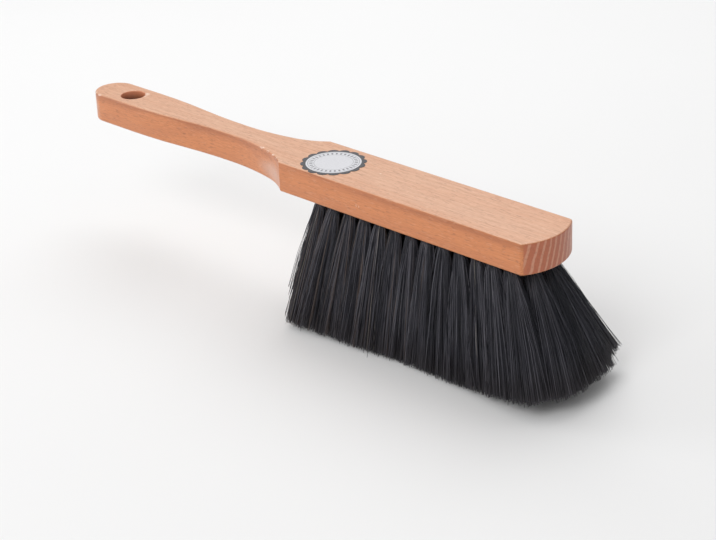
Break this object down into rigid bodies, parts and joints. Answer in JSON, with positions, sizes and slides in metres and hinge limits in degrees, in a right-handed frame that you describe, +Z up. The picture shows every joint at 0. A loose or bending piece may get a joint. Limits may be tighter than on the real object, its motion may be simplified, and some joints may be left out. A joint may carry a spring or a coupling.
{
  "type": "hand broom",
  "caption": "Hand broom with a solid wooden stock, a waisted flat handle with a hanging hole, and rows of dark horsehair tufts that fan out at the free end.",
  "frame": {"origin": "on the floor under the middle of the outline, with the broom standing on its hair", "axes": "+X from the handle to the free end of the block, +Y across the block to its back, +Z up, out of the bare top of the stock"},
  "size_m": [0.3147, 0.06, 0.0742],
  "materials": {
    "beech": "thin clear satin lacquer",
    "horsehair": "smooth dark natural hair with a slight shine",
    "anchor_wire": "flattened bright wire",
    "paper_label": "thin printed paper, pale with a dark rim"
  },
  "bodies": {
    "root": {"anchors": "anchor_wire", "label": "paper_label", "stock": "beech", "tuft_back_01": "horsehair", "tuft_back_02": "horsehair", "tuft_back_03": "horsehair", "tuft_back_04": "horsehair", "tuft_back_05": "horsehair", "tuft_back_06": "horsehair", "tuft_back_07": "horsehair", "tuft_back_08": "horsehair", "tuft_back_09": "horsehair", "tuft_back_10": "horsehair", "tuft_back_11": "horsehair", "tuft_back_12": "horsehair", "tuft_back_13": "horsehair", "tuft_front_01": "horsehair", "tuft_front_02": "horsehair", "tuft_front_03": "horsehair", "tuft_front_04": "horsehair", "tuft_front_05": "horsehair", "tuft_front_06": "horsehair", "tuft_front_07": "horsehair", "tuft_front_08": "horsehair", "tuft_front_09": "horsehair", "tuft_front_10": "horsehair", "tuft_front_11": "horsehair", "tuft_front_12": "horsehair", "tuft_front_13": "horsehair", "tuft_inner_back_01": "horsehair", "tuft_inner_back_02": "horsehair", "tuft_inner_back_03": "horsehair", "tuft_inner_back_04": "horsehair", "tuft_inner_back_05": "horsehair", "tuft_inner_back_06": "horsehair", "tuft_inner_back_07": "horsehair", "tuft_inner_back_08": "horsehair", "tuft_inner_back_09": "horsehair", "tuft_inner_back_10": "horsehair", "tuft_inner_back_11": "horsehair", "tuft_inner_back_12": "horsehair", "tuft_inner_back_13": "horsehair", "tuft_inner_back_14": "horsehair", "tuft_inner_front_01": "horsehair", "tuft_inner_front_02": "horsehair", "tuft_inner_front_03": "horsehair", "tuft_inner_front_04": "horsehair", "tuft_inner_front_05": "horsehair", "tuft_inner_front_06": "horsehair", "tuft_inner_front_07": "horsehair", "tuft_inner_front_08": "horsehair", "tuft_inner_front_09": "horsehair", "tuft_inner_front_10": "horsehair", "tuft_inner_front_11": "horsehair", "tuft_inner_front_12": "horsehair", "tuft_inner_front_13": "horsehair", "tuft_inner_front_14": "horsehair"}
  },
  "joints": []
}
